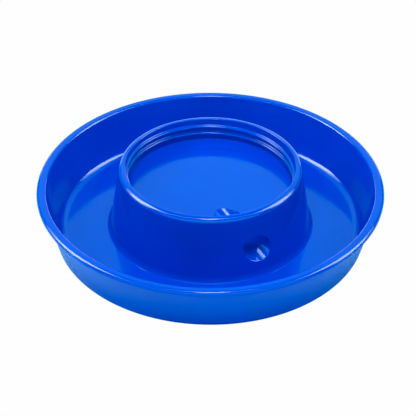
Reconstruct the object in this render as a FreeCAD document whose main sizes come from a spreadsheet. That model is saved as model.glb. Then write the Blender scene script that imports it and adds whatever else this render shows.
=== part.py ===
import FreeCAD, Part
import math
import os
import re

import Sketcher
from FreeCAD import Placement, Rotation, Vector

# Screw-on base of a one-gallon poultry waterer, in millimetres.
# A round drinking tray stands on the floor.  From its middle rises a hollow cone whose top
# is a threaded collar: the water jar is screwed into it upside down, mouth on the cup floor.
# Water leaves the cup through one inclined port in the side of the cone and fills the tray
# up to the top of the port.
#
# Frame: +Z up, origin on the tray's axis at the level it stands on.  -Y is the front, and
# the port is to the right of it, towards +X.
#
# The real base is one moulding.  It is modelled as its separate walls, which meet face to
# face: tray_floor, tray_wall, rim_lip, jar_collar, cup_floor and port_tube.

SIZES = {
    # tray
    "tray_diameter": 227.0,
    "rim_height": 35.7,
    "lip_width": 6.1,
    "lip_height": 3.2,
    "lip_outer_round": 2.5,
    "lip_inner_round": 1.8,
    "lip_under_round": 0.5,
    "wall_top_diameter": 219.6,
    "base_diameter": 203.9,
    "base_edge_round": 3.4,
    "tray_corner_diameter": 197.8,
    "tray_corner_round": 5.6,
    "floor_level": 4.6,
    "floor_thickness": 3.1,
    "floor_outer_diameter": 189.0,
    "foot_inner_diameter": 191.0,
    # cone and collar
    "collar_height": 49.4,
    "collar_top_diameter": 118.7,
    "collar_outer_round": 3.5,
    "collar_inner_round": 0.6,
    "mouth_diameter": 110.4,
    "entry_depth": 2.2,
    "cup_diameter": 110.0,
    "cone_foot_diameter": 132.7,
    "flare_width": 1.75,
    "flare_round": 8.4,
    "cone_wall": 3.2,
    "cup_level": 34.0,
    "cup_thickness": 3.1,
    # screw thread of the collar, right-handed
    "thread_pitch": 5.08,
    "thread_turns": 1.75,
    "thread_start": 36.6,
    "thread_start_angle": -35.0,
    "thread_depth": 1.6,
    "thread_root_width": 3.2,
    "thread_crest_width": 1.1,
    # water port
    "port_half_width": 9.1,
    "port_half_height": 7.5,
    "port_wall": 2.8,
    "port_side_angle": 28.2,
    "port_level": 24.1,
    "port_heading": 43.8,
    "port_slope": 25.8,
    "port_reach_in": 46.0,
    "port_reach_out": 20.0,
}

doc = FreeCAD.newDocument("waterer_base")
sheet = doc.addObject("Spreadsheet::Sheet", "Sizes")
for row, (alias, size) in enumerate(SIZES.items(), 1):
    sheet.set("A%d" % row, alias)
    sheet.set("B%d" % row, str(size))
    sheet.setAlias("B%d" % row, alias)
doc.recompute()


def cell(text):
    """Turns a formula in plain aliases into one that any object of the document can read."""
    return re.sub(r"\b(%s)\b" % "|".join(SIZES), r"Sizes.\1", text)


def number(text):
    """The value of such a formula, in millimetres."""
    return float(sheet.evalExpression(cell(text)))


def bind(thing, prop, text):
    """Makes a property follow a formula of the sheet."""
    thing.setExpression(prop, cell(text))


def origin_part(body, role):
    """The plane or axis of a body's own origin that has this role."""
    return next(f for f in body.Origin.OriginFeatures if f.Role == role)


def profile(body, name, corners, plane="XZ_Plane"):
    """A closed sketch of straight edges.  Corners are (radius, height) formulas."""
    sketch = body.newObject("Sketcher::SketchObject", name)
    sketch.AttachmentSupport = (origin_part(body, plane), [""])
    sketch.MapMode = "FlatFace"
    spots = [Vector(number(x), number(y), 0) for x, y in corners]
    last = len(spots) - 1
    for i, spot in enumerate(spots):
        sketch.addGeometry(Part.LineSegment(spot, spots[i + 1 if i < last else 0]), False)
    for i in range(len(spots)):
        follower = i + 1 if i < last else 0
        sketch.addConstraint(Sketcher.Constraint("Coincident", i, 2, follower, 1))
    for i, (x, y) in enumerate(corners):
        for kind, text in (("DistanceX", x), ("DistanceY", y)):
            place = sketch.addConstraint(
                Sketcher.Constraint(kind, -1, 1, i, 1, number(text))
            )
            bind(sketch, "Constraints[%d]" % place, text)
    return sketch


def turned(name, corners):
    """A body turned about Z from a closed profile of straight edges."""
    body = doc.addObject("PartDesign::Body", name)
    sketch = profile(body, name + "_profile", corners)
    turn = body.newObject("PartDesign::Revolution", name + "_turn")
    turn.Profile = sketch
    turn.ReferenceAxis = (sketch, ["V_Axis"])
    turn.Angle = 360.0
    body.Tip = turn
    doc.recompute()
    return body


def round_circle(body, name, radius, height, size):
    """Rounds the circular edge of a body at this radius and height."""
    base = body.Tip
    found = []
    for place, edge in enumerate(base.Shape.Edges, 1):
        if not isinstance(edge.Curve, Part.Circle):
            continue
        off = abs(edge.Curve.Radius - number(radius))
        if off < 0.01 and abs(edge.Curve.Center.z - number(height)) < 0.01:
            found.append("Edge%d" % place)
    if len(found) != 1:
        raise RuntimeError("%s: %d edges at %s, %s" % (name, len(found), radius, height))
    fillet = body.newObject("PartDesign::Fillet", name)
    fillet.Base = (base, found)
    bind(fillet, "Radius", size)
    body.Tip = fillet
    doc.recompute()


# ---- tray ---------------------------------------------------------------------------
FLOOR_UNDER = "floor_level - floor_thickness"
LIP_UNDER = "rim_height - lip_height"
LIP_INNER_R = "(tray_diameter / 2 - lip_width)"
CORNER_R = "(tray_corner_diameter / 2)"
WALL_INNER_R = (
    CORNER_R + " + (" + LIP_INNER_R + " - " + CORNER_R + ")"
    " * (rim_height - lip_height - floor_level) / (rim_height - floor_level)"
)
FOOT_R = "cone_foot_diameter / 2 + flare_width"

tray_floor = turned("tray_floor", [
    (FOOT_R, FLOOR_UNDER),
    ("floor_outer_diameter / 2", FLOOR_UNDER),
    ("floor_outer_diameter / 2", "floor_level"),
    (FOOT_R, "floor_level"),
])

# The flared wall carries the floor's outer corner and, below it, the ring the tray stands on.
tray_wall = turned("tray_wall", [
    ("floor_outer_diameter / 2", FLOOR_UNDER),
    ("foot_inner_diameter / 2", FLOOR_UNDER),
    ("foot_inner_diameter / 2", "0"),
    ("base_diameter / 2", "0"),
    ("wall_top_diameter / 2", LIP_UNDER),
    (WALL_INNER_R, LIP_UNDER),
    (CORNER_R, "floor_level"),
    ("floor_outer_diameter / 2", "floor_level"),
])
round_circle(tray_wall, "tray_corner", CORNER_R, "floor_level", "tray_corner_round")
round_circle(tray_wall, "base_edge", "base_diameter / 2", "0", "base_edge_round")

rim_lip = turned("rim_lip", [
    (WALL_INNER_R, LIP_UNDER),
    ("tray_diameter / 2", LIP_UNDER),
    ("tray_diameter / 2", "rim_height"),
    (LIP_INNER_R, "rim_height"),
])
round_circle(rim_lip, "lip_outer", "tray_diameter / 2", "rim_height", "lip_outer_round")
round_circle(rim_lip, "lip_inner", LIP_INNER_R, "rim_height", "lip_inner_round")
round_circle(rim_lip, "lip_under", "tray_diameter / 2", LIP_UNDER, "lip_under_round")

# ---- cone and collar ----------------------------------------------------------------
# The cone runs straight from its foot to the collar's top, and only its last few
# millimetres flare outwards to meet the tray floor.  The collar's bore is a plain land at
# its entrance, and below that it tapers slightly to the cup floor, as a moulding must.
CUP_UNDER = "cup_level - cup_thickness"
TAPER = "((cone_foot_diameter - collar_top_diameter) / 2 / (collar_height - floor_level))"
FLARE_DROP = "flare_width / (1 - " + TAPER + ")"
HOLLOW_FOOT_R = "cone_foot_diameter / 2 - cone_wall"
HOLLOW_TOP_R = (
    HOLLOW_FOOT_R + " - " + TAPER + " * (cup_level - cup_thickness - floor_level"
    " + floor_thickness)"
)
FLARE_TOP_R = FOOT_R + " - " + FLARE_DROP

collar = turned("jar_collar_blank", [
    (HOLLOW_FOOT_R, FLOOR_UNDER),
    (FOOT_R, FLOOR_UNDER),
    (FOOT_R, "floor_level"),
    (FLARE_TOP_R, "floor_level + " + FLARE_DROP),
    ("collar_top_diameter / 2", "collar_height"),
    ("mouth_diameter / 2", "collar_height"),
    ("mouth_diameter / 2", "collar_height - entry_depth"),
    ("cup_diameter / 2", "cup_level"),
    ("cup_diameter / 2", CUP_UNDER),
    (HOLLOW_TOP_R, CUP_UNDER),
])
round_circle(collar, "flare", FLARE_TOP_R, "floor_level + " + FLARE_DROP, "flare_round")
TOP_R = "collar_top_diameter / 2"
round_circle(collar, "collar_outer", TOP_R, "collar_height", "collar_outer_round")
MOUTH_R = "mouth_diameter / 2"
round_circle(collar, "collar_inner", MOUTH_R, "collar_height", "collar_inner_round")

# The thread is a ridge that climbs the collar's bore.  Its profile starts turned about Z
# from the +X side, and its root is sunk a little into the wall.
ROOT_SINK = 0.3
ridge = profile(collar, "thread_profile", [
    (MOUTH_R + " + %g" % ROOT_SINK, "thread_start - thread_root_width / 2"),
    (MOUTH_R + " + %g" % ROOT_SINK, "thread_start + thread_root_width / 2"),
    (MOUTH_R + " - thread_depth", "thread_start + thread_crest_width / 2"),
    (MOUTH_R + " - thread_depth", "thread_start - thread_crest_width / 2"),
])
ridge.AttachmentOffset = Placement(Vector(), Rotation(Vector(0, 1, 0), 0.0))
bind(ridge, "AttachmentOffset.Rotation.Angle", "thread_start_angle")
smooth_volume = collar.Shape.Volume
helix = collar.newObject("PartDesign::AdditiveHelix", "thread")
helix.Profile = ridge
helix.ReferenceAxis = (origin_part(collar, "Z_Axis"), [""])
helix.Mode = "pitch-turns-angle"
helix.LeftHanded = False
helix.Reversed = False
bind(helix, "Pitch", "thread_pitch")
bind(helix, "Turns", "thread_turns")
collar.Tip = helix
doc.recompute()
print("thread adds %.0f mm3" % (collar.Shape.Volume - smooth_volume))

cup = doc.addObject("PartDesign::Body", "cup_floor_blank")
cup_circle = cup.newObject("Sketcher::SketchObject", "cup_circle")
cup_circle.AttachmentSupport = (origin_part(cup, "XY_Plane"), [""])
cup_circle.MapMode = "FlatFace"
cup_circle.AttachmentOffset = Placement(Vector(), Rotation())
bind(cup_circle, "AttachmentOffset.Base.z", CUP_UNDER)
CUP_R = "cup_diameter / 2"
disc = Part.Circle(Vector(), Vector(0, 0, 1), number(CUP_R))
cup_circle.addGeometry(disc, False)
cup_circle.addConstraint(Sketcher.Constraint("Coincident", 0, 3, -1, 1))
cup_circle.addConstraint(Sketcher.Constraint("Radius", 0, number(CUP_R)))
bind(cup_circle, "Constraints[1]", CUP_R)
cup_pad = cup.newObject("PartDesign::Pad", "cup_pad")
cup_pad.Profile = cup_circle
bind(cup_pad, "Length", "cup_thickness")
cup.Tip = cup_pad
doc.recompute()

# ---- water port ---------------------------------------------------------------------
# The port is one straight oval bore.  It starts in the cup floor near the collar's wall
# and runs outwards and down, leaving the cone well above the tray floor.
side = math.radians(number("port_side_angle"))
mouth_r = number("cone_foot_diameter / 2") - number(TAPER) * number("port_level - floor_level")
mouth = Vector(mouth_r * math.sin(side), -mouth_r * math.cos(side), number("port_level"))
heading = Rotation(Vector(0, 0, 1), number("port_heading"))
tilt = Rotation(Vector(1, 0, 0), 90 + number("port_slope"))
port_pose = Placement(mouth, heading.multiply(tilt))


def port_solid(name, extra):
    """The oval bore, or the same oval grown by the wall around it."""
    oval = doc.addObject("Part::Ellipse", name + "_section")
    bind(oval, "MajorRadius", "port_half_width" + extra)
    bind(oval, "MinorRadius", "port_half_height" + extra)
    oval.Placement = port_pose
    solid = doc.addObject("Part::Extrusion", name)
    solid.Base = oval
    solid.DirMode = "Custom"
    solid.Dir = port_pose.Rotation.multVec(Vector(0, 0, 1))
    solid.Solid = True
    bind(solid, "LengthFwd", "port_reach_out")
    bind(solid, "LengthRev", "port_reach_in")
    return solid


def cut(name, base, tool):
    """base with tool taken away, as a node of its own."""
    result = doc.addObject("Part::Cut", name)
    result.Base = base
    result.Tool = tool
    return result


bore = port_solid("port_bore", "")
sleeve = port_solid("port_sleeve", " + port_wall")

# The hollow under the cup floor, inside the cone: the tube fills its own part of it.
hollow = doc.addObject("Part::Cone", "hollow")
bind(hollow, "Radius1", HOLLOW_FOOT_R)
bind(hollow, "Radius2", HOLLOW_TOP_R)
bind(hollow, "Height", CUP_UNDER + " - floor_level + floor_thickness")
bind(hollow, "Placement.Base.z", FLOOR_UNDER)
tube_blank = doc.addObject("Part::Common", "port_tube_blank")
tube_blank.Base = sleeve
tube_blank.Tool = hollow

jar_collar = cut("jar_collar", collar, bore)
cup_floor = cut("cup_floor", cup, bore)
port_tube = cut("port_tube", tube_blank, bore)
doc.recompute()

# ---- checks and files ---------------------------------------------------------------
NODES = [tray_floor, tray_wall, rim_lip, jar_collar, cup_floor, port_tube]

for thing in doc.Objects:
    if "Invalid" in thing.State or "Error" in thing.State:
        raise RuntimeError("%s failed: %s" % (thing.Name, thing.State))

os.makedirs("parts", exist_ok=True)
for node in NODES:
    shape = node.Shape
    if shape.isNull() or not shape.isValid() or len(shape.Solids) != 1:
        raise RuntimeError("%s is not one valid solid" % node.Label)
    box = shape.BoundBox
    print("%-12s %9.0f mm3  X %.1f..%.1f  Y %.1f..%.1f  Z %.1f..%.1f" % (
        node.Label, shape.Volume, box.XMin, box.XMax, box.YMin, box.YMax, box.ZMin, box.ZMax))
for node in NODES:
    node.Shape.exportStep("parts/%s.step" % node.Label)
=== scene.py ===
import math

import bpy
from mathutils import Matrix, Vector
from mathutils.bvhtree import BVHTree
from mathutils.interpolate import poly_3d_calc


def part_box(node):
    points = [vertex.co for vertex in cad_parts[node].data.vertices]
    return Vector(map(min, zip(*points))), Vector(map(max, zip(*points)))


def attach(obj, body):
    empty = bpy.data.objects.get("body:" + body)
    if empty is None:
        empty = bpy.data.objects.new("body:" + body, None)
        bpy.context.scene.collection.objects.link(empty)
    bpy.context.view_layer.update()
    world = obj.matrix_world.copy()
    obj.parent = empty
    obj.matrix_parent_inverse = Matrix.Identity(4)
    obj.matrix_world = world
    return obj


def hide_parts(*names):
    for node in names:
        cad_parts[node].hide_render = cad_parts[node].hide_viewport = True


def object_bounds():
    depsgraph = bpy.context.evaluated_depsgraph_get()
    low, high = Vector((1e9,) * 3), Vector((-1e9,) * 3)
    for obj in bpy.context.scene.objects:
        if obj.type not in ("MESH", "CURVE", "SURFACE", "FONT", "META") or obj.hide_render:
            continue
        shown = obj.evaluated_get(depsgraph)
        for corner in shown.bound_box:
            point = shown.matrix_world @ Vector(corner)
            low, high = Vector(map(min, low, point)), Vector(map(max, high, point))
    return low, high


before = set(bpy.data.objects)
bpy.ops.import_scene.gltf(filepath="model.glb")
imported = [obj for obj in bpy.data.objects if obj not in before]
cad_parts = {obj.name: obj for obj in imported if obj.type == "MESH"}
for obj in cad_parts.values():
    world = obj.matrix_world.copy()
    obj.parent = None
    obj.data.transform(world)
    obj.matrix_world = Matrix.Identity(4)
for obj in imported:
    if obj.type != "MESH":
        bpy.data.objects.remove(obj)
cad_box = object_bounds()
LOW, HIGH = Vector(cad_box[0]), Vector(cad_box[1])
MIDDLE = (LOW + HIGH) / 2
MM = 0.001

# ---- view ---------------------------------------------------------------------------
VIEW_ELEVATION = math.radians(36.29)
VIEW_DISTANCE = 0.9013
VIEW_ROLL = 0.00283
LENS = 119.08
AIM = MIDDLE + Vector((-1.51, -9.21, -3.24)) * MM


def add_camera():
    data = bpy.data.cameras.new("view")
    data.lens = LENS
    data.sensor_width = 36.0
    data.clip_start = 0.05
    data.clip_end = 20.0
    camera = bpy.data.objects.new("view", data)
    bpy.context.scene.collection.objects.link(camera)
    forward = Vector((0.0, math.cos(VIEW_ELEVATION), -math.sin(VIEW_ELEVATION)))
    turn = Matrix.Rotation(math.pi / 2 - VIEW_ELEVATION, 4, "X") @ Matrix.Rotation(VIEW_ROLL, 4, "Z")
    camera.matrix_world = Matrix.Translation(AIM - forward * VIEW_DISTANCE) @ turn
    bpy.context.scene.camera = camera


add_camera()


# ---- light --------------------------------------------------------------------------
LAMP_DISTANCE = 1.2
WHITE = (1.0, 1.0, 1.0)
# What the plastic reflects has less red than green, apart from the white glow behind it,
# because neutral highlights look violet on this blue.
COOL = (0.85, 1.0, 0.98)
FRONT_CARD_COLOUR = (0.45, 0.8, 1.0)
FRONT_FILL_COLOUR = (1.0, 0.9, 1.0)
BACK_CARD_COLOUR = (0.58, 1.0, 0.95)
SURROUNDINGS_COLOUR = (0.1, 0.9, 1.0, 1)
SURROUNDINGS_STRENGTH = 0.3
# the Ray Depth past which the lamps of once_only go dark
DEPTH_LIMIT = 2.5


def softbox(name, azimuth, elevation, width, height, radiance, colour=WHITE):
    """A rectangular lamp facing the object.  Its place and size are angles in degrees seen
    from the object; azimuth 0 is straight behind it (+Y) and 90 to its right (+X)."""
    data = bpy.data.lights.new(name, "AREA")
    data.shape = "RECTANGLE"
    data.size = 2 * LAMP_DISTANCE * math.tan(math.radians(width / 2))
    data.size_y = 2 * LAMP_DISTANCE * math.tan(math.radians(height / 2))
    data.energy = radiance * math.pi * data.size * data.size_y
    data.color = colour
    data.use_nodes = True
    lamp = bpy.data.objects.new(name, data)
    bpy.context.scene.collection.objects.link(lamp)
    side, up = math.radians(azimuth), math.radians(elevation)
    ray = Vector((math.sin(side) * math.cos(up), math.cos(side) * math.cos(up), math.sin(up)))
    lamp.location = MIDDLE + ray * LAMP_DISTANCE
    lamp.rotation_euler = (-ray).to_track_quat("-Z", "Y").to_euler()
    return lamp


def once_only(lamp):
    """Keeps a lamp mainly for first reflections.  It lights nothing diffusely, and little of
    it shows in a reflection of a reflection, as in a hollow's opposite walls."""
    lamp.visible_diffuse = False
    tree = lamp.data.node_tree
    glow = tree.nodes["Emission"]
    path = tree.nodes.new("ShaderNodeLightPath")
    first = tree.nodes.new("ShaderNodeMath")
    first.operation = "LESS_THAN"
    first.inputs[1].default_value = DEPTH_LIMIT
    tree.links.new(path.outputs["Ray Depth"], first.inputs[0])
    tree.links.new(first.outputs["Value"], glow.inputs["Strength"])


# The boxes, strip, cards and glow are only reflected, and the fills give only diffuse light.
for side, strength in ((-1, 1.0), (1, 0.78)):
    # the two boxes of a side are one soft-edged lamp
    once_only(softbox("side_box", side * 84, 34, 22, 44, 13.0 * strength, COOL))
    once_only(softbox("side_halo", side * 84, 34, 38, 46, 4.0 * strength, COOL))
softbox("left_fill", -80, 35, 40, 40, 3.4).visible_glossy = False
softbox("right_fill", 80, 35, 40, 40, 1.7).visible_glossy = False
once_only(softbox("top_box", 180, 76, 11, 26, 8.5, COOL))
once_only(softbox("top_strip", 180, 77, 90, 7, 5.5, COOL))
softbox("top_fill", 180, 78, 34, 26, 10.7).visible_glossy = False
softbox("front_card", 180, 25, 110, 40, 2.2, FRONT_CARD_COLOUR).visible_diffuse = False
softbox("front_fill", 180, 30, 110, 50, 0.35, FRONT_FILL_COLOUR).visible_glossy = False
softbox("back_glow", 0, 8, 70, 16, 2.4).visible_diffuse = False
softbox("back_card", 0, 44, 100, 40, 1.0, BACK_CARD_COLOUR).visible_diffuse = False


def add_surroundings():
    world = bpy.data.worlds.new("studio")
    world.use_nodes = True
    background = world.node_tree.nodes["Background"]
    background.inputs["Color"].default_value = SURROUNDINGS_COLOUR
    background.inputs["Strength"].default_value = SURROUNDINGS_STRENGTH
    bpy.context.scene.world = world


add_surroundings()


def set_grade():
    """The saturated look of a product picture: weak grey reflections lose their red."""
    view = bpy.context.scene.view_settings
    view.view_transform = "Standard"
    view.use_curve_mapping = True
    view.curve_mapping.black_level = (0.03, 0.0, 0.0)
    view.curve_mapping.update()


set_grade()


# ---- floor --------------------------------------------------------------------------
STAGE_HALF = 6.0
SWEEP_GAP = 0.1 * MM
SWEEP_WHITE = (0.99, 0.99, 0.99, 1)
BLACK = (0.0, 0.0, 0.0, 1)
BOUNCE_COLOUR = (0.38, 0.8, 0.92, 1)


def add_plane(name, level):
    """A wide level sheet that is part of the stage, and its shader."""
    mesh = bpy.data.meshes.new(name)
    ways = ((-1, -1), (1, -1), (1, 1), (-1, 1))
    mesh.from_pydata([(x * STAGE_HALF, y * STAGE_HALF, level) for x, y in ways], [], [(0, 1, 2, 3)])
    plane = bpy.data.objects.new(name, mesh)
    bpy.context.scene.collection.objects.link(plane)
    material = bpy.data.materials.new(name)
    material.use_nodes = True
    mesh.materials.append(material)
    return plane, material.node_tree.nodes["Principled BSDF"]


def add_floor():
    """The white sweep that the camera sees, which lights nothing, and a pale cyan floor, hidden
    from the camera, that bounces light onto the object."""
    sweep, shader = add_plane("sweep", LOW.z - SWEEP_GAP)
    shader.inputs["Base Color"].default_value = BLACK
    shader.inputs["Specular IOR Level"].default_value = 0.0
    shader.inputs["Emission Color"].default_value = SWEEP_WHITE
    shader.inputs["Emission Strength"].default_value = 1.0
    sweep.visible_diffuse = False
    sweep.visible_glossy = False
    sweep.visible_shadow = False
    bounce, shader = add_plane("floor", LOW.z)
    shader.inputs["Base Color"].default_value = BOUNCE_COLOUR
    shader.inputs["Roughness"].default_value = 0.9
    bounce.visible_camera = False


add_floor()


# ---- plastic ------------------------------------------------------------------------
# Glossy moulded polypropylene.  Texture sizes and heights are in metres.
BLUE = (0.0, 0.041, 0.55, 1)
DEEP_BLUE = (0.0, 0.035, 0.49, 1)
CLOUD_SIZE, CLOUD_DETAIL, CLOUD_SPAN = 0.045, 3, (0.3, 0.7)
ROUGHNESS = (0.08, 0.15)
HAZE_SIZE, HAZE_DETAIL, HAZE_SPAN = 0.012, 4, (0.35, 0.7)
WAVE_SIZE, WAVE_DETAIL, WAVE_HEIGHT = 0.007, 2, 12e-6
RING_SIZE, RING_DETAIL, RING_HEIGHT = 0.0016, 3, 2.5e-6
RUB_SPAN, RUB_ROUGHNESS = (0.55, 0.75), 0.05
SPECK_COLOUR = (0.25, 0.5, 0.9, 1)
SPECK_SPACING, SPECK_RADIUS, SPECK_SHARE, SPECK_STRENGTH = 0.006, 0.0002, 0.25, 0.7
# The Mix node's colour sockets share their names with its other sockets, so they go by number.
MIX_FACTOR, MIX_A, MIX_B, MIX_RESULT = 0, 6, 7, 2


def add_node(tree, kind, **settings):
    made = tree.nodes.new("ShaderNode" + kind)
    for key, value in settings.items():
        setattr(made, key, value)
    return made


def noise(tree, size, detail, coordinate):
    made = add_node(tree, "TexNoise")
    made.inputs["Scale"].default_value = 1 / size
    made.inputs["Detail"].default_value = detail
    tree.links.new(coordinate, made.inputs["Vector"])
    return made.outputs["Fac"]


def ranged(tree, value, span, result):
    """Maps a span of values onto another one."""
    made = add_node(tree, "MapRange")
    numbers = zip(("From Min", "From Max", "To Min", "To Max"), (*span, *result))
    for name, number in numbers:
        made.inputs[name].default_value = number
    tree.links.new(value, made.inputs["Value"])
    return made.outputs["Result"]


def math_of(tree, operation, *values):
    """The result of a sum on numbers and other nodes' outputs."""
    made = add_node(tree, "Math", operation=operation)
    for socket, value in zip(made.inputs, values):
        if isinstance(value, (int, float)):
            socket.default_value = value
        else:
            tree.links.new(value, socket)
    return made.outputs["Value"]


def turning_marks(tree, place):
    """Fine rings about the axis, as the turned mould leaves them."""
    flat = add_node(tree, "VectorMath", operation="MULTIPLY")
    flat.inputs[1].default_value = (1.0, 1.0, 0.0)
    tree.links.new(place, flat.inputs[0])
    radius = add_node(tree, "VectorMath", operation="LENGTH")
    tree.links.new(flat.outputs["Vector"], radius.inputs[0])
    rings = add_node(tree, "TexNoise", noise_dimensions="1D")
    rings.inputs["Scale"].default_value = 1 / RING_SIZE
    rings.inputs["Detail"].default_value = RING_DETAIL
    tree.links.new(radius.outputs["Value"], rings.inputs["W"])
    return rings.outputs["Fac"]


def wavy_skin(tree, place, rings):
    """A normal that sways a little, with the turning marks in it."""
    waves = math_of(tree, "MULTIPLY", noise(tree, WAVE_SIZE, WAVE_DETAIL, place), WAVE_HEIGHT)
    marks = math_of(tree, "MULTIPLY", rings, RING_HEIGHT)
    bump = add_node(tree, "Bump")
    bump.inputs["Distance"].default_value = 1.0
    tree.links.new(math_of(tree, "ADD", waves, marks), bump.inputs["Height"])
    return bump.outputs["Normal"]


def patchy_gloss(tree, place, rings):
    haze = ranged(tree, noise(tree, HAZE_SIZE, HAZE_DETAIL, place), HAZE_SPAN, ROUGHNESS)
    rub = ranged(tree, rings, RUB_SPAN, (0.0, RUB_ROUGHNESS))
    return math_of(tree, "ADD", haze, rub)


def specks(tree, place):
    """1 on a few small round spots and 0 elsewhere."""
    cells = add_node(tree, "TexVoronoi")
    cells.inputs["Scale"].default_value = 1 / SPECK_SPACING
    tree.links.new(place, cells.inputs["Vector"])
    pick = add_node(tree, "SeparateColor")
    tree.links.new(cells.outputs["Color"], pick.inputs["Color"])
    chosen = math_of(tree, "GREATER_THAN", pick.outputs["Red"], 1 - SPECK_SHARE)
    near = math_of(tree, "LESS_THAN", cells.outputs["Distance"], SPECK_RADIUS / SPECK_SPACING)
    return math_of(tree, "MULTIPLY", chosen, near)


def pigment(tree, place):
    """Two close blues in soft clouds, with pale specks."""
    speck = specks(tree, place)
    cloud = ranged(tree, noise(tree, CLOUD_SIZE, CLOUD_DETAIL, place), CLOUD_SPAN, (0.0, 1.0))
    colour = add_node(tree, "Mix", data_type="RGBA")
    colour.inputs[MIX_A].default_value = DEEP_BLUE
    colour.inputs[MIX_B].default_value = BLUE
    tree.links.new(cloud, colour.inputs[MIX_FACTOR])
    dusted = add_node(tree, "Mix", data_type="RGBA")
    dusted.inputs[MIX_B].default_value = SPECK_COLOUR
    tree.links.new(math_of(tree, "MULTIPLY", speck, SPECK_STRENGTH), dusted.inputs[MIX_FACTOR])
    tree.links.new(colour.outputs[MIX_RESULT], dusted.inputs[MIX_A])
    return dusted.outputs[MIX_RESULT]


def make_plastic():
    material = bpy.data.materials.new("moulding")
    material.use_nodes = True
    tree = material.node_tree
    shader = tree.nodes["Principled BSDF"]
    place = add_node(tree, "TexCoord").outputs["Object"]
    rings = turning_marks(tree, place)
    tree.links.new(wavy_skin(tree, place, rings), shader.inputs["Normal"])
    tree.links.new(patchy_gloss(tree, place, rings), shader.inputs["Roughness"])
    tree.links.new(pigment(tree, place), shader.inputs["Base Color"])
    return material


plastic = make_plastic()
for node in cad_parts.values():
    node.data.materials.clear()
    node.data.materials.append(plastic)


# ---- turned walls -------------------------------------------------------------------
# The CAD's walls again, finely divided and with exact normals, because the gloss shows
# every facet of a rounded lip.  Radii and heights are in millimetres.
AROUND = 384
ARC_STEP = math.radians(7.0)
# a relief changes only normals whose outward part is below this, which face the axis
FACING_AXIS = -0.9


def reach(node):
    """Outer radius, lowest and highest level of a CAD node, in millimetres."""
    low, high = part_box(node)
    return min(high.x, high.y, -low.x, -low.y) / MM, low.z / MM, high.z / MM


def unit(x, y):
    size = math.hypot(x, y)
    return x / size, y / size


def corner_points(r, z, rounding, before, after):
    """(r, z) and normal at each point of one corner, between the directions of the outline
    before and after it."""
    turn = math.atan2(
        before[0] * after[1] - before[1] * after[0],
        before[0] * after[0] + before[1] * after[1],
    )
    first = math.atan2(-before[0], before[1])
    if not rounding:
        return [((r, z), (math.cos(angle), math.sin(angle))) for angle in (first, first + turn)]
    steps = max(1, math.ceil(abs(turn) / ARC_STEP))
    radius = math.copysign(rounding, turn)
    trim = rounding * math.tan(abs(turn) / 2)
    centre_r = r - before[0] * trim - radius * math.cos(first)
    centre_z = z - before[1] * trim - radius * math.sin(first)
    points = []
    for k in range(steps + 1):
        angle = first + turn * (k / steps)
        normal = (math.cos(angle), math.sin(angle))
        points.append(((centre_r + radius * normal[0], centre_z + radius * normal[1]), normal))
    return points


def rounded(corners):
    """Strips ((r, z), normal, (r, z), normal) of a closed outline.

    corners are (r, z, rounding), counter-clockwise with the solid on the left."""
    count = len(corners)
    ways = []
    for i, (r, z, _) in enumerate(corners):
        next_r, next_z, _ = corners[(i + 1) % count]
        ways.append(unit(next_r - r, next_z - z))
    arcs = [corner_points(*corner, ways[i - 1], ways[i]) for i, corner in enumerate(corners)]
    strips = []
    for i, points in enumerate(arcs):
        if corners[i][2]:
            strips.extend((*start, *end) for start, end in zip(points, points[1:]))
        strips.append((*points[-1], *arcs[(i + 1) % count][0]))
    return strips


def divided(strips, pick, step):
    """The strips with those that pick chooses cut into pieces no longer than step."""
    out = []
    for p, n, q, m in strips:
        parts = 1
        if pick(p, q):
            parts = max(1, math.ceil(math.hypot(q[0] - p[0], q[1] - p[1]) / step))
        for k in range(parts):
            a, b = k / parts, (k + 1) / parts
            out.append((
                (p[0] + (q[0] - p[0]) * a, p[1] + (q[1] - p[1]) * a), n,
                (p[0] + (q[0] - p[0]) * b, p[1] + (q[1] - p[1]) * b), m,
            ))
    return out


def as_object(name, points, faces, normals):
    """A mesh object with a normal for each corner of each face."""
    mesh = bpy.data.meshes.new(name)
    mesh.from_pydata(points, [], faces)
    mesh.polygons.foreach_set("use_smooth", [True] * len(faces))
    mesh.normals_split_custom_set(normals)
    mesh.materials.append(plastic)
    thing = bpy.data.objects.new(name, mesh)
    bpy.context.scene.collection.objects.link(thing)
    return thing


def turned_normal(angle, spot, flat, relief):
    """A strip's normal at one spot, turned to an angle about Z."""
    around, out, up = 0.0, flat[0], flat[1]
    if relief and flat[0] < FACING_AXIS:
        changed = relief(angle, *spot)[1]
        if changed:
            around, out, up = changed
    c, s = math.cos(angle), math.sin(angle)
    return out * c - around * s, out * s + around * c, up


def turned(name, strips, relief=None):
    """Turns closed strips about Z.  relief(angle, r, z) gives another radius and normal."""
    rows = len(strips)
    points, faces, normals = [], [], []
    known = {}
    for i in range(AROUND):
        angle = 2 * math.pi * i / AROUND
        c, s = math.cos(angle), math.sin(angle)
        for (r, z), _, _, _ in strips:
            if relief:
                r = relief(angle, r, z)[0]
            points.append((r * c * MM, r * s * MM, z * MM))
    for i in range(AROUND):
        here, there = i * rows, (i + 1) % AROUND * rows
        for j, (p, n, q, m) in enumerate(strips):
            k = (j + 1) % rows
            faces.append((here + j, there + j, there + k, here + k))
            for step, at_end, spot, flat in ((0, 0, p, n), (1, 0, p, n), (1, 1, q, m), (0, 1, q, m)):
                key = (i + step, j, at_end)
                if key not in known:
                    angle = 2 * math.pi * (i + step) / AROUND
                    known[key] = turned_normal(angle, spot, flat, relief)
                normals.append(known[key])
    return as_object(name, points, faces, normals)


def stands_for(piece, *nodes):
    """Joins a piece to the object's one body, in place of CAD nodes."""
    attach(piece, "root")
    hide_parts(*nodes)


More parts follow.
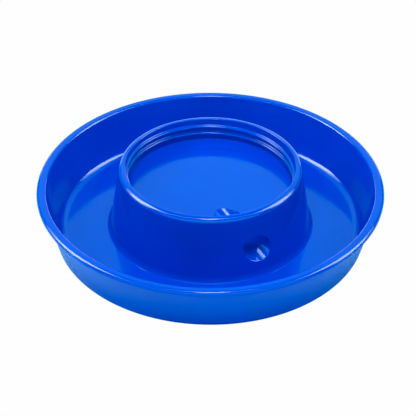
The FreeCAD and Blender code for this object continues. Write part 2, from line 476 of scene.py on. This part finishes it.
# ---- tray ---------------------------------------------------------------------------
LIP_R, LIP_UNDER, RIM_Z = reach("rim_lip")
FLOOR_R, FLOOR_UNDER, FLOOR_Z = reach("tray_floor")
LIP_WIDTH = 6.1
LIP_INNER_R = LIP_R - LIP_WIDTH
LIP_UNDER_ROUND, LIP_OUTER_ROUND, LIP_INNER_ROUND = 0.5, 2.5, 1.8
WALL_TOP_R = 109.8
BASE_R, BASE_ROUND = 101.95, 3.4
CORNER_R, CORNER_ROUND = 98.9, 5.6
WALL_INNER_R = CORNER_R + (LIP_INNER_R - CORNER_R) * (LIP_UNDER - FLOOR_Z) / (RIM_Z - FLOOR_Z)
FOOT_INNER_R = 95.5
CONE_FOOT_R = 68.1

lip = turned("rim_lip_skin", rounded([
    (WALL_INNER_R, LIP_UNDER, 0),
    (LIP_R, LIP_UNDER, LIP_UNDER_ROUND),
    (LIP_R, RIM_Z, LIP_OUTER_ROUND),
    (LIP_INNER_R, RIM_Z, LIP_INNER_ROUND),
]))
stands_for(lip, "rim_lip")

wall = turned("tray_wall_skin", rounded([
    (FLOOR_R, FLOOR_UNDER, 0),
    (FOOT_INNER_R, FLOOR_UNDER, 0),
    (FOOT_INNER_R, 0.0, 0),
    (BASE_R, 0.0, BASE_ROUND),
    (WALL_TOP_R, LIP_UNDER, 0),
    (WALL_INNER_R, LIP_UNDER, 0),
    (CORNER_R, FLOOR_Z, CORNER_ROUND),
    (FLOOR_R, FLOOR_Z, 0),
]))
stands_for(wall, "tray_wall")

floor_skin = turned("tray_floor_skin", rounded([
    (CONE_FOOT_R, FLOOR_UNDER, 0),
    (FLOOR_R, FLOOR_UNDER, 0),
    (FLOOR_R, FLOOR_Z, 0),
    (CONE_FOOT_R, FLOOR_Z, 0),
]))
stands_for(floor_skin, "tray_floor")


# ---- cone, collar and cup -----------------------------------------------------------
COLLAR_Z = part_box("jar_collar")[1].z / MM
TOP_R = 59.35
MOUTH_R = 55.2
LAND = 2.2
ENTRY_Z = COLLAR_Z - LAND
COLLAR_OUTER_ROUND, COLLAR_INNER_ROUND = 3.5, 0.6
CUP_R, CUP_Z, CUP_UNDER = 55.0, 34.0, 30.9
FOOT_STRAIGHT_R = 66.35
TAPER = (FOOT_STRAIGHT_R - TOP_R) / (COLLAR_Z - FLOOR_Z)
FLARE, FLARE_ROUND = 1.75, 8.4
FLARE_DROP = FLARE / (1 - TAPER)
CONE_WALL = 3.2
HOLLOW_FOOT_R = FOOT_STRAIGHT_R - CONE_WALL
HOLLOW_TOP_R = HOLLOW_FOOT_R - TAPER * (CUP_UNDER - FLOOR_UNDER)

# the jar thread: a right-handed ridge, tapered at both ends
PITCH, THREAD_Z = 5.08, 36.6
THREAD_FROM, THREAD_SWEEP = math.radians(-35.0), math.radians(630.0)
THREAD_DEPTH, ROOT_HALF, CREST_HALF = 1.6, 1.6, 0.35
RUN_OUT = math.radians(28.0)

# how finely the bore's strips and the cone's are divided, and which strips those are: the
# cone's lie above CONE_FROM_Z, and the bore's lie within MARGIN of its wall
BORE_STEP, CONE_STEP = 0.14, 2.5
MARGIN = 0.01
CONE_FROM_Z = 8.0
# the small step over which the ridge's slope is taken
SLOPE_STEP = 0.02


def smooth(x):
    x = min(1.0, max(0.0, x))
    return x * x * (3 - 2 * x)


def ridge(angle, z):
    """How far the thread's ridge stands out of the bore's wall."""
    turn = 2 * math.pi
    best = 0.0
    t = (angle - THREAD_FROM) % turn
    while t < THREAD_SWEEP:
        off = abs(z - (THREAD_Z + PITCH * t / turn))
        if off < ROOT_HALF:
            ends = smooth(t / RUN_OUT) * smooth((THREAD_SWEEP - t) / RUN_OUT)
            height = smooth((ROOT_HALF - off) / (ROOT_HALF - CREST_HALF))
            best = max(best, THREAD_DEPTH * ends * height)
        t += turn
    return best


def bore_relief(angle, r, z):
    """The bore's wall with the ridge on it: its radius, and its normal around, out and up."""
    on_wall = CUP_Z <= z <= ENTRY_Z and r < MOUTH_R + MARGIN
    if not on_wall:
        return r, None
    here = r - ridge(angle, z)
    slope = (MOUTH_R - CUP_R) / (ENTRY_Z - CUP_Z)
    up = slope - (ridge(angle, z + SLOPE_STEP) - ridge(angle, z - SLOPE_STEP)) / (2 * SLOPE_STEP)
    step = SLOPE_STEP / r
    side = -(ridge(angle + step, z) - ridge(angle - step, z)) / (2 * step) / here
    size = math.sqrt(1 + side * side + up * up)
    return here, (side / size, -1 / size, up / size)


def on_bore(p, q):
    return max(p[0], q[0]) < MOUTH_R + MARGIN and min(p[1], q[1]) > CUP_Z - MARGIN


def on_cone(p, q):
    levels = p[1], q[1]
    return min(p[0], q[0]) > TOP_R and CONE_FROM_Z < min(levels) and max(levels) < COLLAR_Z


collar_strips = rounded([
    (HOLLOW_FOOT_R, FLOOR_UNDER, 0),
    (CONE_FOOT_R, FLOOR_UNDER, 0),
    (CONE_FOOT_R, FLOOR_Z, 0),
    (CONE_FOOT_R - FLARE_DROP, FLOOR_Z + FLARE_DROP, FLARE_ROUND),
    (TOP_R, COLLAR_Z, COLLAR_OUTER_ROUND),
    (MOUTH_R, COLLAR_Z, COLLAR_INNER_ROUND),
    (MOUTH_R, ENTRY_Z, 0),
    (CUP_R, CUP_Z, 0),
    (CUP_R, CUP_UNDER, 0),
    (HOLLOW_TOP_R, CUP_UNDER, 0),
])
collar_strips = divided(collar_strips, on_bore, BORE_STEP)
collar_strips = divided(collar_strips, on_cone, CONE_STEP)
collar = turned("jar_collar_skin", collar_strips, bore_relief)


# ---- water port ---------------------------------------------------------------------
# An oval bore through the cone's wall, whose mouth has a slightly rounded edge.
PORT_A, PORT_B = 9.1, 7.5
PORT_SIDE, PORT_Z = math.radians(28.2), 24.1
PORT_HEADING, PORT_SLOPE = math.radians(43.8), math.radians(25.8)
PORT_IN, PORT_OUT = 46.0, 20.0
PORT_EDGE = 0.55
EDGE_STEPS, EDGE_END = 5, math.radians(80)
# past its rounded edge the cutter is this much wider and further out, clear of the cone
CLEAR_WIDER, CLEAR_OUT = 0.2, 1.0
OVAL_STEPS = 128
SEARCH_REACH, SEARCH_HALVINGS = 15.0, 40
# in metres: how much nearer a source counts when it faces the same way as the cut face
FACING_BONUS = 2e-6

port_r = FOOT_STRAIGHT_R - TAPER * (PORT_Z - FLOOR_Z)
PORT_SPOT = Vector((port_r * math.sin(PORT_SIDE), -port_r * math.cos(PORT_SIDE), PORT_Z))
ACROSS = Vector((math.cos(PORT_HEADING), math.sin(PORT_HEADING), 0.0))
OUTWARD = Vector((
    math.sin(PORT_HEADING) * math.cos(PORT_SLOPE),
    -math.cos(PORT_HEADING) * math.cos(PORT_SLOPE),
    -math.sin(PORT_SLOPE),
))
UPWARD = ACROSS.cross(-OUTWARD)


def oval_point(angle, grown, along):
    side = ACROSS * ((PORT_A + grown) * math.cos(angle))
    rise = UPWARD * ((PORT_B + grown) * math.sin(angle))
    return PORT_SPOT + side + rise + OUTWARD * along


def to_cone(angle, grown):
    """How far along the bore it meets the cone's outer face."""
    def outside(along):
        spot = oval_point(angle, grown, along)
        return math.hypot(spot.x, spot.y) - FOOT_STRAIGHT_R + TAPER * (spot.z - FLOOR_Z)

    low, high = -SEARCH_REACH, SEARCH_REACH
    for _ in range(SEARCH_HALVINGS):
        middle = (low + high) / 2
        if outside(middle) > 0:
            high = middle
        else:
            low = middle
    return (low + high) / 2


def cutter_stages():
    """The rings of the bore from inside outwards: how much wider each is, how deep it lies
    under the cone's face, or None at the two ends, and how far its edge has bent."""
    stages = [(0.0, None, 0.0)]
    for k in range(EDGE_STEPS + 1):
        bend = EDGE_END * k / EDGE_STEPS
        stages.append((PORT_EDGE * (1 - math.cos(bend)), PORT_EDGE * (1 - math.sin(bend)), bend))
    grown, depth, _ = stages[-1]
    stages.append((grown + CLEAR_WIDER, depth - CLEAR_OUT, EDGE_END))
    stages.append((grown + CLEAR_WIDER, None, EDGE_END))
    return stages


def port_cutter():
    """The bore as a closed solid that flares where it leaves the cone, and its normals as the
    cut faces have them."""
    stages = cutter_stages()
    points, faces, normals = [], [], []
    flats = []
    for row, (grown, depth, bend) in enumerate(stages):
        for i in range(OVAL_STEPS):
            angle = 2 * math.pi * i / OVAL_STEPS
            if depth is None:
                along = -PORT_IN if row == 0 else PORT_OUT
            else:
                along = to_cone(angle, grown) - depth
            spot = oval_point(angle, grown, along)
            out = ACROSS * (math.cos(angle) / PORT_A) + UPWARD * (math.sin(angle) / PORT_B)
            out.normalize()
            size = math.hypot(spot.x, spot.y)
            face = Vector((spot.x / size, spot.y / size, TAPER)).normalized()
            flats.append(face * math.sin(bend) - out * math.cos(bend))
            points.append(spot * MM)
    for row in range(len(stages) - 1):
        near, far = row * OVAL_STEPS, (row + 1) * OVAL_STEPS
        for i in range(OVAL_STEPS):
            j = (i + 1) % OVAL_STEPS
            face = (near + i, near + j, far + j, far + i)
            faces.append(face)
            normals.extend(flats[k] for k in face)
    top = (len(stages) - 1) * OVAL_STEPS
    for cap, flat in ((range(OVAL_STEPS - 1, -1, -1), OUTWARD), (range(top, top + OVAL_STEPS), -OUTWARD)):
        faces.append(tuple(cap))
        normals.extend([flat] * OVAL_STEPS)
    return as_object("port_cutter", points, faces, normals), normals


def surface_of(mesh, normals):
    """A mesh's corners, faces, each face's first corner number, normals and search tree."""
    corners = [v.co.copy() for v in mesh.vertices]
    faces = [tuple(p.vertices) for p in mesh.polygons]
    starts = [p.loop_start for p in mesh.polygons]
    return corners, faces, starts, normals, BVHTree.FromPolygons(corners, faces)


def source_of(polygon, surfaces):
    """The surface that a cut polygon came from, and the number of the face there."""
    found = []
    for surface in surfaces:
        _, _, starts, normals, tree = surface
        _, _, index, gap = tree.find_nearest(polygon.center)
        same_way = normals[starts[index]].dot(polygon.normal)
        found.append((gap - FACING_BONUS * same_way, surface, index))
    _, surface, index = min(found, key=lambda item: item[0])
    return surface, index


def cut_port(thing):
    """Cuts the bore out of a piece, and gives each new corner the normal of the smooth
    surface it came from."""
    cutter, cutter_normals = port_cutter()
    own_normals = [n.vector.copy() for n in thing.data.corner_normals]
    surfaces = surface_of(thing.data, own_normals), surface_of(cutter.data, cutter_normals)
    change = thing.modifiers.new("port", "BOOLEAN")
    change.operation = "DIFFERENCE"
    change.solver = "EXACT"
    change.object = cutter
    graph = bpy.context.evaluated_depsgraph_get()
    mesh = bpy.data.meshes.new_from_object(thing.evaluated_get(graph))
    thing.modifiers.clear()
    thing.data = mesh
    bpy.data.objects.remove(cutter)
    normals = []
    for polygon in mesh.polygons:
        (corners, faces, starts, flats, _), index = source_of(polygon, surfaces)
        ring = [corners[k] for k in faces[index]]
        start = starts[index]
        for k in polygon.vertices:
            weights = poly_3d_calc(ring, mesh.vertices[k].co)
            flat = Vector((0, 0, 0))
            for weight, n in zip(weights, flats[start:start + len(ring)]):
                flat += n * weight
            normals.append(flat.normalized())
    mesh.polygons.foreach_set("use_smooth", [True] * len(mesh.polygons))
    mesh.normals_split_custom_set(normals)


cut_port(collar)
stands_for(collar, "jar_collar")
